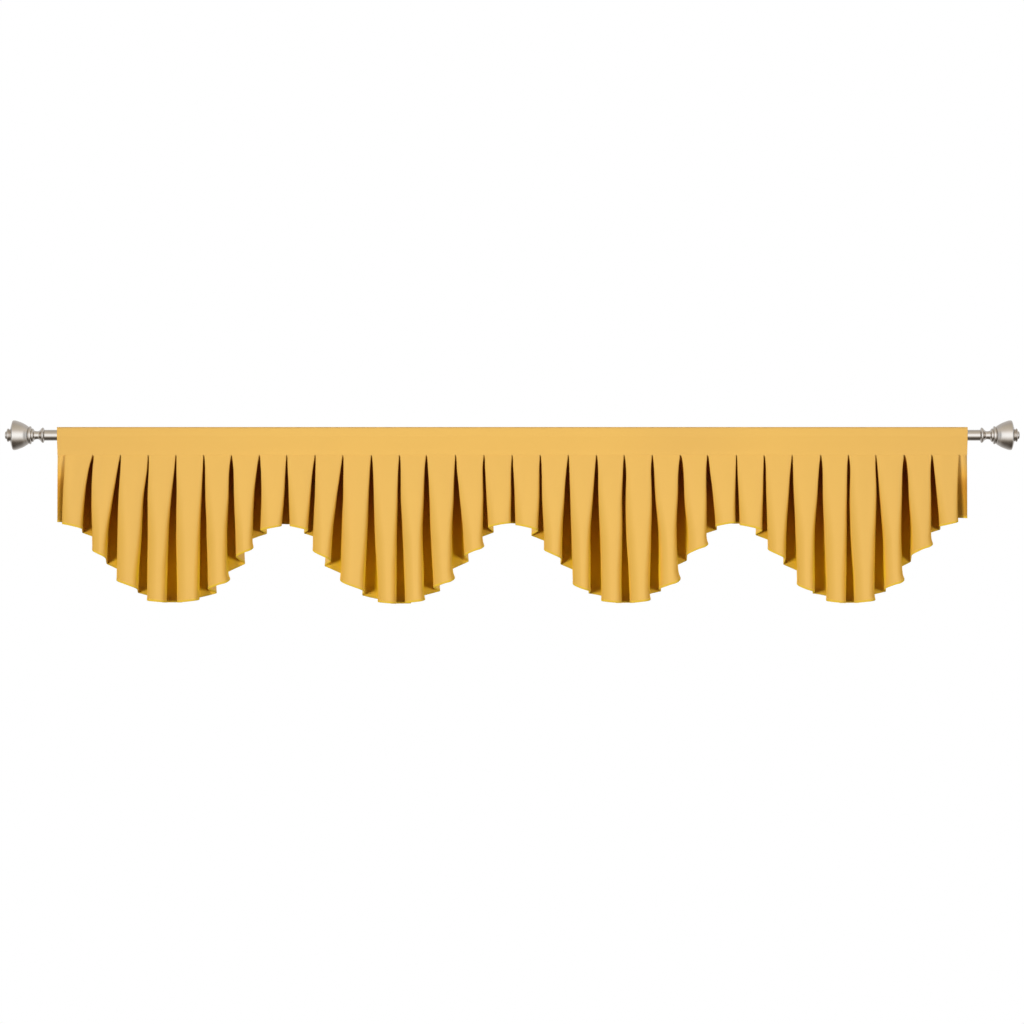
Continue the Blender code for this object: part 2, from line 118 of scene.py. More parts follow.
# One row a pleat opening, mm. at: its place at the seam; gape: how far its right edge springs open
# right below the seam; l40..l320, r40..r320: how far its left and right edges stand off that place
# 40, 110, 200 and 320 below the seam; split: the share of the folded cloth that lies behind the
# left-hand face at the hem; lip: how far that face's corner turns out at the hem; soft: how much
# rounder the right-hand face's corner is; face and lobe: how much lower the right-hand face and the
# layer behind the opening are cut.
Opening = namedtuple(
    "Opening", "at gape l40 l110 l200 l320 r40 r110 r200 r320 split lip soft face lobe"
)
OPENINGS = [Opening(*row) for row in (
    (-1163, 0.0, 0, 0, 0, 0, -1, -4, -6, -6, 0.50, 0, 1.0, 0, 2),
    (-1091, 3.2, 10, 20, 26, 30, -2, -3, -1, -1, 0.22, 0, 1.0, 4, 0),
    (-1019, 1.8, 7, 18, 30, 37, -1, -5, -7, -9, 0.26, 0, 1.0, 1, 5),
    (-947, 1.8, 2, 11, 15, 24, 1, -1, 0, -2, 0.32, 0, 1.0, 1, 2),
    (-875, 1.8, 3, 10, 17, 21, 1, 2, 1, 3, 0.50, 0, 1.0, 2, 0),
    (-803, 1.8, 1, 4, 7, 9, 4, 6, 9, 12, 0.38, 0, 1.0, 6, 4),
    (-731, 1.8, 4, 5, 10, 7, 5, 7, 11, 15, 0.42, 5.5, 1.0, 3, 3),
    (-658, 1.8, 6, 13, 16, 19, 3, 5, 3, 3, 0.54, 3, 1.0, 4, 1),
    (-587, 1.8, 2, 5, 13, 15, 2, 6, 9, 10, 0.50, 0, 1.0, -1, 2),
    (-513, 1.8, 5, 11, 18, 20, 0, -1, -5, -7, 0.30, 0, 1.0, 2, -5),
    (-441, 1.8, 5, 14, 25, 34, 1, 0, -4, -8, 0.54, 0, 2.2, 2, 0),
    (-367, 1.8, 3, 6, 9, 15, 4, 6, 9, 15, 0.46, 0, 1.0, 4, 5),
    (-294, 1.8, 2, 3, 5, 6, 3, 4, 8, 13, 0.50, 0, 1.0, 4, 3),
    (-224, 1.8, 4, 6, 9, 6, 4, 8, 11, 18, 0.46, 3, 1.0, 5, 1),
    (-148, 1.8, 2, 4, 8, 6, 3, 10, 18, 26, 0.54, 5.5, 1.0, 3, 1),
    (-74, 1.8, 3, 1, 3, 5, 2, 6, 11, 15, 0.58, 5.5, 1.0, -3, 1),
    (-1, 1.8, 2, 2, 3, 3, 2, 6, 9, 9, 0.50, 0, 1.0, -2, 1),
    (72, 1.8, 2, 2, 5, 5, 3, 4, 8, 9, 0.46, 0, 1.0, -1, 0),
    (145, 1.8, 4, 9, 15, 17, 2, 4, 7, 11, 0.30, 0, 1.0, 8, -3),
    (218, 1.8, 3, 8, 15, 15, 4, 5, 8, 11, 0.36, 0, 1.0, 2, 0),
    (290, 1.8, 2, 5, 4, 5, 4, 4, 5, 12, 0.50, 0, 1.0, 4, 1),
    (363, 1.8, 2, 0, 2, 5, 4, 7, 15, 17, 0.62, 3, 2.2, 9, 2),
    (436, 3.6, 4, 6, 9, 3, 6, 9, 16, 14, 0.74, 5.5, 1.6, 0, 1),
    (507, 2.2, 3, 3, 2, 4, 5, 13, 20, 18, 0.74, 5.5, 1.0, -2, -3),
    (582, 1.8, 1, 3, 3, 3, 2, 5, 8, 8, 0.50, 0, 1.0, 2, 4),
    (654, 1.8, 1, 2, 4, 5, 4, 5, 7, 10, 0.44, 0, 1.0, 4, 3),
    (727, 1.8, 4, 9, 15, 17, 1, 3, 7, 10, 0.32, 0, 1.0, 13, 3),
    (801, 1.8, 4, 8, 15, 15, 4, 5, 8, 12, 0.36, 0, 1.0, 3, 2),
    (873, 1.8, 3, 4, 4, 5, 4, 3, 4, 12, 0.50, 0, 1.0, 3, 1),
    (944, 1.8, 0, -2, 1, 3, 4, 9, 16, 20, 0.62, 3, 2.2, 7, 2),
    (1018, 3.6, 4, 6, 8, 3, 7, 10, 16, 17, 0.74, 5.5, 1.6, 1, 5),
    (1090, 2.2, 3, 2, 2, 4, 5, 12, 19, 18, 0.74, 5.5, 1.0, 4, 0),
    (1161, 0.0, 2, 4, 3, 3, 0, 0, 0, 0, 0.50, 0, 1.0, 0, -3),
)]
STATIONS = (0.0, 40.0, 110.0, 200.0, 320.0)
LAST = len(OPENINGS) - 1

# -------------------- fineness of the dressed cloth
FACE_STEPS = 5
CORNER_STEPS = 5
BEHIND_STEPS = 3
STRIP_STEPS = 4
DROP_STEP = 3.0
DROPS_TO = 420.0
SEAM_ROWS = (-SEAM_ALLOWANCE, -5.0, -2.5, -1.0, 0.5, 2.0, 4.0, 7.5, 12.0, 18.0, 26.0, 36.0, 50.0)
FIELD_ROWS = 20
HEM_ROWS = (14.0, 8.0, 5.0, 2.5, 0.8, 0.0)
BAND_ENDS = (0.0, 0.8, 3.0, 8.0, 11.0, 14.0, 20.0)
BAND_COLUMNS = 220
TURNED_SIDES = 96
HEM_TURN = 8.0
HEM_PRESSED = 0.55
HEM_STITCH_UP = 6.6
HEM_STITCH_OUT = 0.41
STITCH_SUNK = 0.3
SEAM_STITCH_UP = 4.5
SEAM_STITCH_INSET = 4.0
SEAM_STITCH_POINTS = 120
LIP_HEIGHT = 26.0
WRINKLES_FROM, WRINKLES_GROWN = 6.0, 60.0
SEAM_PUFF = 1.0
HEADER_SQUARE = 7.0
BAND_KNEE_BLEND = 7.0
BAND_HEM_ROWS = (0.0, 0.6, 1.5)

# where shade is painted into the cloth, mm: how wide along a face's two edges, and how far below
# the seam the folds and the end strips reach their full share of painted shade; then the shares on
# the strips
WIDE_EDGE_SHADE, NARROW_EDGE_SHADE = 26.0, 18.0
FOLD_SHADE_REACH, STRIP_SHADE_REACH = 24.0, 90.0
STRIP_FOLD_SHADE = 0.87
STRIP_SHADE_DROP = 165.0
STRIP_SHADES = (0.45, 0.7)


# ==================== folds
def hem_drop(p):
    """How far below the seam the flat cloth is cut, at pleat coordinate p."""
    nearest, behind = p + 0.5 - FACE_AT, p + 1.0 - FACE_AT
    n = min(max(int(nearest // SCALLOP), 0), len(PEAKS) - 2)
    off = p - LOWEST_AT[n]
    peak = PEAKS[n] if off < 0 else PEAKS[n + 1]
    share = min(abs(off) / (SCALLOP / 2), 1.0) ** HEM_SHARPNESS
    face, behind = (min(max(int(q), 0), LAST) for q in (nearest, behind))
    full = cos(pi * (p - face - FACE_AT)) ** 2
    trim = OPENINGS[face].face * full + OPENINGS[behind].lobe * (1 - full)
    return peak + (LOWEST - peak) * (1 + cos(pi * share)) / 2 + trim


def smooth_through(values, d):
    """A smooth curve through the values at the stations, running on gently past the last."""
    if d <= 0:
        return values[0]
    last = len(STATIONS) - 1
    slopes = []
    for k in range(last + 1):
        a, b = max(k - 1, 0), min(k + 1, last)
        slopes.append((values[b] - values[a]) / (STATIONS[b] - STATIONS[a]))
    if d >= STATIONS[last]:
        return values[last] + 0.6 * slopes[last] * (d - STATIONS[last])
    k = max(j for j in range(last) if STATIONS[j] <= d)
    h = STATIONS[k + 1] - STATIONS[k]
    t = (d - STATIONS[k]) / h
    return (
        (1 + 2 * t) * (1 - t) ** 2 * values[k]
        + t * (1 - t) ** 2 * h * slopes[k]
        + t * t * (3 - 2 * t) * values[k + 1]
        + t * t * (t - 1) * h * slopes[k + 1]
    )


def edges(row, d):
    """The centre line's left and right edges of an opening at drop d."""
    off = CLOTH / 2 + LAYER_GAP / 2
    left = smooth_through((0, row.l40, row.l110, row.l200, row.l320), d)
    right = smooth_through((0, row.r40, row.r110, row.r200, row.r320), d)
    fall = max(d, 0.0)
    spring = GAPE_STAYS + GAPE_FADES * exp(-fall / GAPE_FADE)
    right += row.gape * (1 - exp(-fall / GAPE_START)) * spring
    return row.at - off - left, row.at + off + right


def growth(d):
    """How far a form that is full at the hem has grown at drop d."""
    return (max(d, 0.0) / FULL_DROP) ** 0.8


def swell(d):
    """How far the faces' roundness has grown at drop d: most of it in the upper third."""
    return 1 - exp(-max(d, 0.0) / BOW_DROP)


def corner_radii(d, corner):
    """Radii of a side's bend at the face, crisp by the seam, and at the layer behind."""
    tight = (CLOTH + LAYER_GAP) / 2
    g = min(max(d, 0.0) / CORNER_DROP, 1.0) ** 1.3
    return tight + (corner - tight) * g, tight + (BACK_CORNER - tight) * swell(d)


def pleat_depth(d):
    """How deep the pleats stand at drop d, from a flat stack at the seam."""
    share = (1 - exp(-max(d, 0.0) / DEPTH_SPREAD)) / (1 - exp(-FULL_DROP / DEPTH_SPREAD))
    return FLAT_STACK + (DEPTH_AT_HEM - FLAT_STACK) * share


def side_fold(hidden, d, r):
    """Turn angle and straight run of a pleat's side that hides this much cloth at drop d."""

    def run(a):
        return (hidden + r * (sin(a) - a)) / (1 - cos(a))

    target = pleat_depth(d)
    low, high = radians(91.0), pi
    for _ in range(40):
        a = (low + high) / 2
        if r * (1 - cos(a)) + run(a) * sin(a) > target:
            low = a
        else:
            high = a
    a = (low + high) / 2
    return a, run(a)


def side_line(edge, hidden, d, corner):
    """A pleat's side, from a face's right-hand corner back to the layer behind: (x, y, turn)."""
    r1, r2 = corner_radii(d, corner)
    angle, run = side_fold(hidden, d, r1 + r2)
    x0 = edge - r1
    points = []
    for k in range(CORNER_STEPS + 1):
        a = angle * k / CORNER_STEPS
        points.append((x0 + r1 * sin(a), r1 * (1 - cos(a)), a))
    x1 = x0 + r1 * sin(angle) + run * cos(angle)
    y1 = r1 * (1 - cos(angle)) + run * sin(angle)
    x, y, _ = points[-1]
    points.append(((x + x1) / 2, (y + y1) / 2, angle))
    for k in range(CORNER_STEPS + 1):
        a = angle * (1 - k / CORNER_STEPS)
        points.append((x1 + r2 * (sin(angle) - sin(a)), y1 + r2 * (cos(a) - cos(angle)), a))
    return points


def face_front(k, d):
    """Depth of face k's own plane, and the middle of its width."""
    left = edges(OPENINGS[k], d)[1]
    right = edges(OPENINGS[k + 1], d)[0]
    lean = FACE_LEAN * sin(1.9 * k + 0.7) * growth(d)
    return -pleat_depth(d) / 2 + lean, (left + right) / 2


def face_half(middle, corner, front):
    """Half of a face, from its middle to its corner, still flat: (x, y, turn), corner left out."""
    return [
        (middle + (corner - middle) * k / FACE_STEPS, front, 0.0) for k in range(FACE_STEPS)
    ]


def bowed(points, middle, edge, d):
    """The points of half a face and its corner, bowed towards the room and steeper by the edge."""
    found, past = [], False
    for x, y, a in points:
        s = min((x - middle) / (edge - middle), 1.0)
        past = past or abs(a) > pi / 2
        if past:
            found.append((x, y, a))
            continue
        bow = FACE_BOW * swell(d)
        lean = atan2(4 * bow * s ** 3, abs(edge - middle)) * cos(a)
        found.append((x, y - bow * (1 - s ** 4), a + copysign(lean, edge - middle)))
    return found


def between(one, two, steps):
    """The points strictly between two points of a line."""
    return [
        tuple(p + (q - p) * k / steps for p, q in zip(one, two))
        for k in range(1, steps)
    ]


def fold_line(i, d):
    """Opening i's share of the cloth at drop d, from the middle of one face to that of the next.

    Points are (x, y, turn, length so far); the front's normal is (sin turn, -cos turn).
    """
    row = OPENINGS[i]
    left_edge, right_edge = edges(row, d)
    split = 0.5 + (row.split - 0.5) * growth(d)
    line = []
    if 0 < i < LAST:
        y0, c0 = face_front(i - 1, d)
        y1, c1 = face_front(i, d)
        flat0 = (face_front(i, 0)[1] - face_front(i - 1, 0)[1]) + 4 * HIDDEN_SIDE
        folded = flat0 - (c1 - c0)
    elif i == 0:
        y1, c1 = face_front(0, d)
        folded = 4 * HIDDEN_SIDE + 2 * (face_front(0, 0)[1] - c1)
    else:
        y0, c0 = face_front(LAST - 1, d)
        folded = 4 * HIDDEN_SIDE + 2 * (c0 - face_front(LAST - 1, 0)[1])
    swing = END_SWING * pleat_depth(d) + (1 - END_SWING) * FLAT_STACK
    left, right = [], []
    if i > 0:
        left = [(x, y0 + y, a) for x, y, a in side_line(left_edge, folded * split, d, RIGHT_CORNER)]
    if i < LAST:
        mirrored = side_line(-right_edge, folded * (1 - split), d, LEFT_CORNER * row.soft)
        right = [(-x, y1 + y, -a) for x, y, a in reversed(mirrored)]
    if i > 0:
        line += bowed(face_half(c0, left[0][0], y0) + left, c0, left_edge, d)
    else:
        line.append((-CLOTH_HALF_WIDTH, y1 + swing, 0.0))
        line += between(line[0], right[0], STRIP_STEPS)
    if 0 < i < LAST:
        line += between(left[-1], right[0], BEHIND_STEPS)
    if i < LAST:
        line += bowed(face_half(c1, right[-1][0], y1) + right[::-1], c1, right_edge, d)[::-1]
    else:
        line += between(left[-1], (CLOTH_HALF_WIDTH, y0 + swing, 0.0), STRIP_STEPS)
        line.append((CLOTH_HALF_WIDTH, y0 + swing, 0.0))
    points, length = [], 0.0
    for k, (x, y, a) in enumerate(line):
        if k:
            length += hypot(x - line[k - 1][0], y - line[k - 1][1])
        points.append((x, y, a, length))
    return points


class FoldTable:
    """Every opening's fold lines at even drops, read in between by straight steps."""

    def __init__(self):
        self.drops = int(ceil(DROPS_TO / DROP_STEP)) + 1
        self.lines = [
            [fold_line(i, n * DROP_STEP) for n in range(self.drops)] for i in range(LAST + 1)
        ]
        self.starts = [0.0]
        for lines in self.lines[:-1]:
            self.starts.append(self.starts[-1] + lines[0][-1][3])

    def columns(self):
        """(opening, point) pairs of every column of the cloth, left to right."""
        found = []
        for i, lines in enumerate(self.lines):
            count = len(lines[0])
            found += [(i, k) for k in range(count if i == LAST else count - 1)]
        return found

    def at(self, i, k, d):
        """(x, y, turn, length, whole length) of point k of opening i at drop d."""
        n = min(max(d, 0.0) / DROP_STEP, self.drops - 1.001)
        whole, part = int(n), n - int(n)
        one, two = self.lines[i][whole], self.lines[i][whole + 1]
        mixed = [p + (q - p) * part for p, q in zip(one[k], two[k])]
        return (*mixed, one[-1][3] + (two[-1][3] - one[-1][3]) * part)

    def hem(self, i, k):
        """Drop of the hem at a column: its place along the cloth and its cut, taken in turns."""
        d = HEM_GUESS
        for _ in range(HEM_ROUNDS):
            _, _, _, length, whole = self.at(i, k, d)
            if i == 0:
                p = FACE_AT - (whole - length) / PLEAT_CLOTH
            elif i == LAST:
                p = LAST - 1.0 + FACE_AT + length / PLEAT_CLOTH
            else:
                p = i - 1.0 + FACE_AT + length / whole
            d = hem_drop(p)
        return d

    def hung(self, i, k, d, hem, wrinkle):
        """A column's point at drop d with its wrinkles and its turned-out corner, mm.

        It is (x, y, turn, place along the flat cloth).
        """
        x, y, turn, length, _ = self.at(i, k, d)
        u = self.starts[i] + length
        grown = ease((d - WRINKLES_FROM) / WRINKLES_GROWN)
        push = grown * wrinkle_height(u * MM, d * MM) * wrinkle
        x += push * sin(turn)
        y -= push * cos(turn)
        y += copysign(seam_puff(d) * min(1.0, abs(y)), y)
        near = max(0.0, 1.0 - (hem - d) / LIP_HEIGHT)
        x += OPENINGS[i].lip * lip_weight(i, k, len(self.lines[i][0])) * near * near
        return x, y, turn, u


def lip_weight(i, k, count):
    """How much a point follows its opening's turned-out corner: full at the corner itself."""
    if i == 0:
        return 0.0
    if k < FACE_STEPS:
        return (k / FACE_STEPS) ** 2
    side = 2 * (CORNER_STEPS + 1) + 1
    return max(0.0, 1.0 - ((k - FACE_STEPS) / side) ** 2) if k < FACE_STEPS + side else 0.0


def fold_shade_share(i, k, count):
    """How deep a point lies in its fold, and so its share of painted fold shade: 0 on a face, 1 on
    the sides and the layer behind.
    """
    sides = CORNER_STEPS + 1
    into = (k - (FACE_STEPS - 1.5)) / (sides - 1.0) if i else 1.0
    back = count - 1 - k
    out = (back - (FACE_STEPS - 0.5)) / (sides - 2.0) if i < LAST else 1.0
    return ease(into) * ease(out)


def edge_shade_share(i, k, count, x, d):
    """How close a point of a face's front lies to the face's edge at an opening, from 0 to 0.7: its
    share of the painted shade where the face turns away from the light.
    """
    back = count - 1 - k
    corner = FACE_STEPS + 3
    grown = min(1.0, (max(d, 0.0) + 20.0) / 240.0) ** 0.8
    left, right = edges(OPENINGS[i], d)
    if i > 0 and k < corner:
        return 0.5 * min(max(NARROW_EDGE_SHADE * grown - left + x, 0.0) / WIDE_EDGE_SHADE, 0.7)
    if i < LAST and back < corner:
        return min(max(WIDE_EDGE_SHADE * grown - x + right, 0.0) / WIDE_EDGE_SHADE, 0.7)
    return 0.0


def end_shade_share(i, depth, d):
    """How strong the painted shade on the end strips is at a point: it grows down them, and is 0
    elsewhere.
    """
    if 0 < i < LAST:
        return 0.0
    down = min(1.0, max(d, 0.0) / STRIP_SHADE_DROP) ** 1.3
    return STRIP_SHADES[i // LAST] * ease(4.0 * depth - 3.0) * down


# ==================== mesh helpers
def new_piece(name, bm, material):
    """Turn a bmesh in metres into a piece that rides on the part's body."""
    if bpy.data.objects.get(name):
        raise RuntimeError(f"{name} is made already")
    for face in bm.faces:
        face.smooth = True
    mesh = bpy.data.meshes.new(name)
    bm.to_mesh(mesh)
    bm.free()
    piece = bpy.data.objects.new(name, mesh)
    bpy.context.scene.collection.objects.link(piece)
    mesh.materials.append(material)
    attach(piece, BODY)
    return piece


def grid_of(columns, rows):
    """A flat grid; returns the bmesh and its vertices as [row from the top][column]."""
    bm = bmesh.new()
    for name in LAYERS:
        bm.verts.layers.float.new(name)
    bm.verts.layers.deform.verify()
    bmesh.ops.create_grid(bm, x_segments=columns - 1, y_segments=rows - 1, size=1.0)
    if len(bm.verts) != columns * rows:
        raise RuntimeError("the grid has another number of vertices than asked")
    net = [[None] * columns for _ in range(rows)]
    for vert in bm.verts:
        column = round((vert.co.x + 1) / 2 * (columns - 1))
        row = round((1 - vert.co.y) / 2 * (rows - 1))
        net[row][column] = vert
    return bm, net


def lay_uv(bm, place):
    """UV map in metres of cloth: place gives (along, up) of a vertex."""
    layer = bm.loops.layers.uv.new("cloth")
    for face in bm.faces:
        for loop in face.loops:
            loop[layer].uv = place[loop.vert]


def thicken(piece, thickness):
    """Give a sheet its thickness, half to each side, by the weights its points hold."""
    piece.vertex_groups.new(name="thickness")
    mod = piece.modifiers.new("cloth thickness", "SOLIDIFY")
    mod.thickness = thickness
    mod.offset = 0.0
    mod.use_rim = True
    mod.vertex_group = "thickness"
    return mod


def ease(t):
    """A soft step from 0 to 1."""
    t = min(max(t, 0.0), 1.0)
    return t * t * (3 - 2 * t)


# ==================== materials
class Wire:
    """A value inside a finish; arithmetic on it adds Math nodes."""

    def __init__(self, finish, socket):
        self.finish, self.socket = finish, socket

    def _do(self, operation, *terms):
        return self.finish.add("ShaderNodeMath", {"operation": operation}, dict(enumerate(terms)))

    def __add__(self, other): return self._do("ADD", self, other)
    def __radd__(self, other): return self._do("ADD", other, self)
    def __sub__(self, other): return self._do("SUBTRACT", self, other)
    def __rsub__(self, other): return self._do("SUBTRACT", other, self)
    def __mul__(self, other): return self._do("MULTIPLY", self, other)
    def __rmul__(self, other): return self._do("MULTIPLY", other, self)
    def sine(self): return self._do("SINE", self)
    def size(self): return self._do("ABSOLUTE", self)
    def most(self, other): return self._do("MAXIMUM", self, other)


class Finish:
    """A node tree under way, with one way to add any node."""

    def __init__(self, tree):
        self.tree = tree
        self.shader = tree.nodes.get("Principled BSDF")

    def add(self, kind, settings=None, inputs=None, out=0):
        """A node of this type: its settings first, then the values or links of its sockets."""
        node = self.tree.nodes.new(kind)
        for name, value in (settings or {}).items():
            if name == "stops":
                ramp = node.color_ramp
                while len(ramp.elements) < len(value):
                    ramp.elements.new(0.5)
                for element, (place, colour) in zip(ramp.elements, value):
                    element.position = place
                    element.color = (*colour, 1.0)
            else:
                setattr(node, name, value)
        for name, value in (inputs or {}).items():
            self.feed(node.inputs[name], value)
        return None if out is None else Wire(self, node.outputs[out])

    def feed(self, socket, value):
        if isinstance(value, Wire):
            self.tree.links.new(value.socket, socket)
        elif hasattr(value, "__len__") and len(value) == 3 and socket.type == "RGBA":
            socket.default_value = (*value, 1.0)
        else:
            socket.default_value = value

    def set(self, **values):
        """Constants and links of the shader's own sockets, named with _ for a space."""
        for name, value in values.items():
            self.feed(self.shader.inputs[name.replace("_", " ")], value)

    def mix(self, share, one, two):
        """Two colours mixed by a share."""
        settings = {"data_type": "RGBA", "blend_type": "MIX", "clamp_factor": True}
        return self.add("ShaderNodeMix", settings, {0: share, 6: one, 7: two}, 2)

    def noise(self, vector, scale, detail=2.0, roughness=0.5):
        inputs = {"Vector": vector, "Scale": scale, "Detail": detail, "Roughness": roughness}
        return self.add("ShaderNodeTexNoise", {"noise_dimensions": "3D"}, inputs, "Fac")

    def ramp(self, value, stops):
        return self.add("ShaderNodeValToRGB", {"stops": stops}, {0: value})

    def remap(self, value, low, high, to_low=0.0, to_high=1.0):
        inputs = {"Value": value, 1: low, 2: high, 3: to_low, 4: to_high}
        return self.add("ShaderNodeMapRange", {"clamp": True}, inputs)

    def bump(self, height, distance, strength):
        inputs = {"Height": height, "Distance": distance, "Strength": strength}
        return self.add("ShaderNodeBump", None, inputs)


def new_finish(name):
    """A new material, ready for its nodes, and the finish that adds them."""
    material = bpy.data.materials.new(name)
    material.use_nodes = True
    return material, Finish(material.node_tree)


def cloth_finish(name, sizes, hem=False, folds=False):
    """Plain-woven matt cloth: crossing threads, slubs and faint shade changes.

    With hem it has painted shade along the hem's cut edge and where the turned hem ends, and is
    painted darker towards the seam; with folds it has painted shade in its folds, along the faces'
    edges, low on the end strips and in soft streaks for wrinkles. It is painted darker towards its
    ends, where the light falls off, and the band is darker round x = 0.46 m.
    """
    material, finish = new_finish(name)

    def tinted(*shares):
        return tuple(k * c for k, c in zip(shares, sizes.colour))

    def layer(name):
        return finish.add("ShaderNodeAttribute", {"attribute_name": name}, None, "Fac")

    uv = finish.add("ShaderNodeUVMap", {"uv_map": "cloth"})
    along = finish.add("ShaderNodeSeparateXYZ", None, {0: uv}, 0)
    up = finish.add("ShaderNodeSeparateXYZ", None, {0: uv}, 1)
    turns = 2 * pi / sizes.thread_pitch
    warp = (along * turns).sine()
    weft = (up * turns).sine()
    crossing = warp * weft
    slub_map = finish.add("ShaderNodeCombineXYZ", None, {0: along * 40.0, 1: up * 900.0, 2: 0.0})
    slub = finish.noise(slub_map, 1.0, 2.0, 0.6)
    warp_map = finish.add("ShaderNodeCombineXYZ", None, {0: along * 900.0, 1: up * 30.0, 2: 4.0})
    streak = finish.noise(warp_map, 1.0, 2.0, 0.6)
    cloud = finish.noise(uv, 7.0, 3.0, 0.55)
    mottle = finish.noise(uv, 60.0, 2.0, 0.5)
    shade = (
        (cloud - 0.5) * 0.10 + (mottle - 0.5) * 0.05 + (slub - 0.5) * 0.05 + (streak - 0.5) * 0.04
    )
    dark = tinted(0.965, 0.965, 0.965)
    colour = finish.mix(finish.remap(shade, -0.06, 0.06), dark, sizes.colour)
    threads = finish.remap(crossing, -1.0, 1.0, 0.0, 0.10)
    colour = finish.mix(threads, colour, tuple(c * c for c in sizes.colour))
    drift = finish.remap(finish.noise(uv, 1.7, 1.0), 0.35, 0.65, 0.0, 0.4)
    colour = finish.mix(drift, colour, tinted(0.95, 0.95, 0.95))
    # painted shade: darker towards the cloth's ends, where the light falls off, and with hem darker
    # towards the seam, where less light falls; without hem, the band is darker round x = 0.46 m
    place = finish.add("ShaderNodeTexCoord", None, None, "Object")
    reach = finish.add("ShaderNodeSeparateXYZ", None, {0: place}, 0)
    dimmed = finish.remap(reach.size(), 0.60, 1.19)
    if hem:
        dimmed = dimmed.most(finish.remap(up, -0.12, 0.0, 0.0, 0.22))
    else:
        dimmed = dimmed.most(finish.remap((reach - 0.46).size(), 0.04, 0.2, 0.6, 0.0))
    colour = finish.mix(dimmed, colour, tinted(0.905, 0.885, 0.90))
    if folds:
        # painted shade: soft vertical streaks, darker in places, stand for the shade of soft
        # wrinkles in the faces
        pleats = finish.add("ShaderNodeCombineXYZ", None, {0: along * 28.0, 1: up * 2.5, 2: 9.0})
        wrinkle_shade = finish.remap(finish.noise(pleats, 1.0, 2.0, 0.5), 0.42, 0.68, 0.0, 0.8)
        colour = finish.mix(wrinkle_shade, colour, tinted(0.955, 0.935, 0.94))
        # painted shade along the faces' edges, where they turn away from the light
        colour = finish.mix(layer("by_edge"), colour, tinted(0.76, 0.70, 0.42))
        # painted shade in the folds: a deeper tone where a face turns in, a richer one on the sides
        # and the layer behind, and a dark one in the folds' narrow tops near the seam
        fold = layer("in_fold")
        colour = finish.mix(finish.remap(fold, 0.15, 0.6), colour, sizes.turn_shade_colour)
        narrow = finish.remap(up, -0.30, -0.05)
        inside = finish.mix(narrow, sizes.fold_shade_colour, sizes.deep_shade_colour)
        colour = finish.mix(finish.remap(fold, 0.6, 1.0), colour, inside)
        # painted shade low on the end strips, which lie recessed and turned from the light
        colour = finish.mix(layer("at_end"), colour, sizes.end_shade_colour)
    # painted shade along the hem: darker towards its cut edge, and a faint line where the turned
    # hem ends
    if hem:
        rim = layer("from_hem")
        edge = finish.remap(rim, 0.0022, 0.0066, 1.0, 0.0)
        turn = finish.remap((rim - 0.0075).size(), 0.0, 0.0012, 0.12, 0.0)
        colour = finish.mix(edge.most(turn), colour, sizes.hem_shade_colour)
    rough = 0.86 + (slub - 0.5) * 0.12
    height = crossing * 0.5 + (slub - 0.5) * 1.4 + (streak - 0.5) * 1.0
    finish.set(
        Base_Color=colour,
        Roughness=rough,
        Normal=finish.bump(height, sizes.thread_relief, 0.6),
        Specular_IOR_Level=0.12,
        Sheen_Weight=0.04,
        Sheen_Roughness=0.5,
        Sheen_Tint=(1.0, 0.86, 0.55, 1.0),
    )
    return material


def nickel_finish(name, sizes):
    """Satin nickel, turned: fine rings round the rod's axis and small changes of shade."""
    material, finish = new_finish(name)
    place = finish.add("ShaderNodeTexCoord", None, None, "Object")
    across = [finish.add("ShaderNodeSeparateXYZ", None, {0: place}, n) for n in range(3)]
    stretched = {n: wire * (2600.0, 30.0, 30.0)[n] for n, wire in enumerate(across)}
    ring_map = finish.add("ShaderNodeCombineXYZ", None, stretched)
    rings = finish.noise(ring_map, 1.0, 2.0, 0.6)
    smudge = finish.noise(place, 35.0, 3.0, 0.55)
    tint = finish.remap(smudge, 0.3, 0.7)
    colour = finish.mix(tint, tuple(0.93 * c for c in sizes.colour), sizes.colour)
    finish.set(
        Base_Color=colour,
        Metallic=1.0,
        Roughness=sizes.roughness + (rings - 0.5) * 0.14 + (smudge - 0.5) * 0.08,
        Normal=finish.bump(rings, 0.00001, 0.25),
    )
    return material


def thread_finish(name, sizes):
    """Twisted sewing thread in the cloth's hue, painted lighter than the cloth to stand for the
    light its stitched ridges catch.
    """
    material, finish = new_finish(name)
    place = finish.add("ShaderNodeTexCoord", None, None, "Object")
    twist = finish.noise(place, 1800.0, 1.0, 0.5)
    # painted light: 1.3 times as light as the cloth, for the light the stitched ridges catch
    light = tuple(1.3 * c for c in sizes.colour)
    dark = tuple(0.94 * c for c in light)
    finish.set(
        Base_Color=finish.mix(finish.remap(twist, 0.35, 0.65), dark, light),
        Roughness=0.6 + (twist - 0.5) * 0.2,
        Specular_IOR_Level=0.3,
    )
    return material


def floor_finish(name, sizes):
    """Pale matt floor with a very faint grain."""
    material, finish = new_finish(name)
    place = finish.add("ShaderNodeTexCoord", None, None, "Object")
    grain = finish.noise(place, 3.0, 3.0, 0.5)
    colour = finish.mix(grain, tuple(0.97 * c for c in sizes.floor_colour), sizes.floor_colour)
    finish.set(
        Base_Color=colour,
        Roughness=0.9,
        Specular_IOR_Level=0.1,
        Emission_Color=colour,
        Emission_Strength=0.55,
    )
    return material


# ==================== sizes a user would change
def length_prop(name, description, default):
    return bpy.props.FloatProperty(
        name=name, description=description, default=default, min=0.0, unit="LENGTH", precision=5
    )


def colour_prop(name, description, default):
    return bpy.props.FloatVectorProperty(
        name=name, description=description, default=default, size=3, min=0.0, max=1.0,
        subtype="COLOR",
    )


